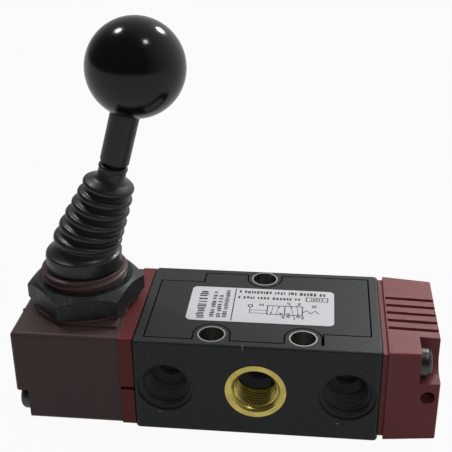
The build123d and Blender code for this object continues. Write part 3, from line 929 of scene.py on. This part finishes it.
def dress():
    """Materials for the CAD nodes and the pieces that stand for or add to them."""
    body = body_plastic()
    housing = moulded("housing_plastic", srgb(82, 64, 63), 0.4, worn=0.4)
    paint(body, "valve_body")
    paint(housing, "lever_housing")
    # The cover plate gets painted shade along its edges, widening its dark outline.
    paint(moulded("plate_plastic", srgb(41, 44, 44), 0.46, specks=0.2, painted_edge_shade=0.85),
          "cover_plate")
    paint(moulded("flange_plastic", srgb(108, 44, 45), 0.4, worn=0.2), "end_flange")
    paint(moulded("cap_plastic", srgb(128, 66, 68), 0.46, specks=0.15, worn=0.3),
          "spring_cap")
    paint(moulded("sleeve_plastic", srgb(36, 38, 38), 0.34, grain=0.4, worn=0.3,
                  gloss=0.4), "lever_sleeve")
    paint(moulded("driver_acetal", srgb(34, 34, 35), 0.4), "spool_driver")
    paint(moulded("cage_acetal", srgb(66, 67, 68), 0.42), "seal_spacers")
    paint(film("label_film_white"), "label")

    bright = brass("brass_turned")
    wire = steel("spring_wire", 150, 0.3, (0.1, 1, 1))
    paint(bright, "port_insert_1", "port_insert_2", "port_insert_4", "pivot_bush",
          "knob_insert")
    paint(wire, "return_spring", "spring_guide")
    paint(steel("sleeve_plated", 196, 0.28, (1, 1, 0.08)), "mounting_sleeve_front_left",
          "mounting_sleeve_front_right", "mounting_sleeve_rear")
    paint(steel("screw_blackened", 84, 0.36), "cap_screws", "housing_screws")
    paint(steel("pin_ground", 168, 0.22, (1, 0.1, 1)), "pivot_pin", "drive_ball")
    paint(steel("spool_anodised", 176, 0.3, (1, 0.2, 0.2)), "spool")
    paint(steel("rod_blackened", 58, 0.34, (1, 1, 0.1)), "lever_rod")
    paint(burnished("nut_burnished"), "hex_nut")

    skin = rubber("bellows_skin", (35, 36, 37), 0.36)
    gloss = glossy_knob("knob_gloss")
    paint(skin, "bellows")
    paint(gloss, "ball_knob")
    paint(rubber("seal_rubber_black", (26, 26, 27)), "spool_seals", "flange_gasket",
          "cap_gasket")

    make_knob(gloss)
    make_bellows(skin)
    make_return_spring(wire)
    make_port_threads(bright, body)
    make_neck_thread(housing)
    make_gate_mark(housing)
    make_label_print(ink("label_ink"))


# ---- stage, light and camera ----

def make_floor():
    """A plain pale floor that shows white to the camera and keeps a soft shadow."""
    made = Recipe("floor_pale", 0.8)
    cloud = made.noise(3, detail=2.0)
    made.colour(made.mix(cloud, srgb(130, 130, 130), srgb(135, 135, 135)))
    paths = made.add("ShaderNodeLightPath").outputs
    seen = made.math("MAXIMUM", paths["Is Camera Ray"], paths["Is Transmission Ray"])
    in_gloss, in_view = 0.6, 0.95
    sheen = made.math("MULTIPLY", paths["Is Glossy Ray"], in_gloss)
    whiteness = made.math("MULTIPLY", made.math("MAXIMUM", seen, sheen), in_view)
    glow = made.glow("ShaderNodeEmission", 1.0)
    blend = made.mix_shaders(whiteness, made.shader.outputs[0], glow)
    made.plug(made.tree.nodes["Material Output"].inputs["Surface"], blend)
    size = 3.0
    mesh = bpy.data.meshes.new("floor")
    corners = [(-size, -size, 0), (size, -size, 0), (size, size, 0), (-size, size, 0)]
    mesh.from_pydata(corners, [], [(0, 1, 2, 3)])
    mesh.materials.append(made.material)
    floor = bpy.data.objects.new("floor", mesh)
    floor.location.z = cad_low.z - 0.02 * MM
    bpy.context.scene.collection.objects.link(floor)


def make_world():
    """White for the camera; a soft room with dim sides for light and gloss."""
    world = bpy.data.worlds.new("studio")
    world.use_nodes = True
    made = Graph(world.node_tree)
    made.tree.nodes.clear()
    paths = made.add("ShaderNodeLightPath").outputs
    place = made.add("ShaderNodeTexCoord").outputs["Generated"]
    brightest_way = Vector((0.55, 0.80, -0.1)).normalized()
    dimmest, brightest = 0.08, 0.75
    strength = made.band(made.dot(place, brightest_way), -0.3, 1.0, dimmest, brightest)
    room = made.glow("ShaderNodeBackground", strength)
    white = made.glow("ShaderNodeBackground", 1.0)
    seen = made.math("MAXIMUM", paths["Is Camera Ray"], paths["Is Transmission Ray"])
    output = made.add("ShaderNodeOutputWorld")
    made.plug(output.inputs[0], made.mix_shaders(seen, room, white))
    bpy.context.scene.world = world


def make_lamp(name, direction, distance, size, power, glints=True):
    """A soft lamp that looks at the valve from a direction."""
    light = bpy.data.lights.new(name, "AREA")
    light.shape = "DISK"
    light.size = size
    light.energy = power
    lamp = bpy.data.objects.new(name, light)
    lamp.visible_glossy = glints
    way = Vector(direction).normalized()
    aim = Vector((0, 0, 0.03))
    lamp.location = aim + way * distance
    lamp.rotation_mode = "QUATERNION"
    lamp.rotation_quaternion = way.to_track_quat("Z", "Y")
    bpy.context.scene.collection.objects.link(lamp)


def make_camera():
    """The camera in front, a little to the right and above, as in the photograph."""
    data = bpy.data.cameras.new("camera")
    data.lens = 73.04
    data.sensor_width = 36.0
    data.clip_start = 0.01
    data.clip_end = 20.0
    camera = bpy.data.objects.new("camera", data)
    look_down, look_left, roll_by = 63.83, 6.21, -0.525
    turn = Euler((radians(look_down), 0, radians(look_left))).to_matrix().to_4x4()
    roll = Matrix.Rotation(radians(roll_by), 4, "Z")
    place = Matrix.Translation((11.10 * MM, -171.26 * MM, 125.95 * MM))
    camera.matrix_world = place @ turn @ roll
    bpy.context.scene.collection.objects.link(camera)
    bpy.context.scene.camera = camera
    return camera


def light_the_stage(camera):
    """Four lamps placed by the camera's own directions and one overhead."""
    axes = camera.matrix_world.to_3x3()
    make_lamp("lamp_left", axes @ Vector((-0.40, 0.84, 0.06)),
              distance=0.9, size=0.14, power=1.9)
    make_lamp("lamp_right", axes @ Vector((0.36, 0.80, -0.28)),
              distance=0.45, size=0.08, power=0.75)
    make_lamp("lamp_camera", axes @ Vector((0.33, 0.73, 0.54)),
              distance=0.9, size=0.12, power=0.9)
    make_lamp("lamp_front", axes @ Vector((0.05, 0.10, 1.0)),
              distance=0.8, size=0.2, power=0.8, glints=False)
    make_lamp("lamp_top", (0.25, 0.35, 1.0),
              distance=1.1, size=0.9, power=0.8, glints=False)


dress()
make_floor()
make_world()
stage_camera = make_camera()
light_the_stage(stage_camera)
bpy.context.scene.view_settings.view_transform = "Standard"

bpy.context.view_layer.update()
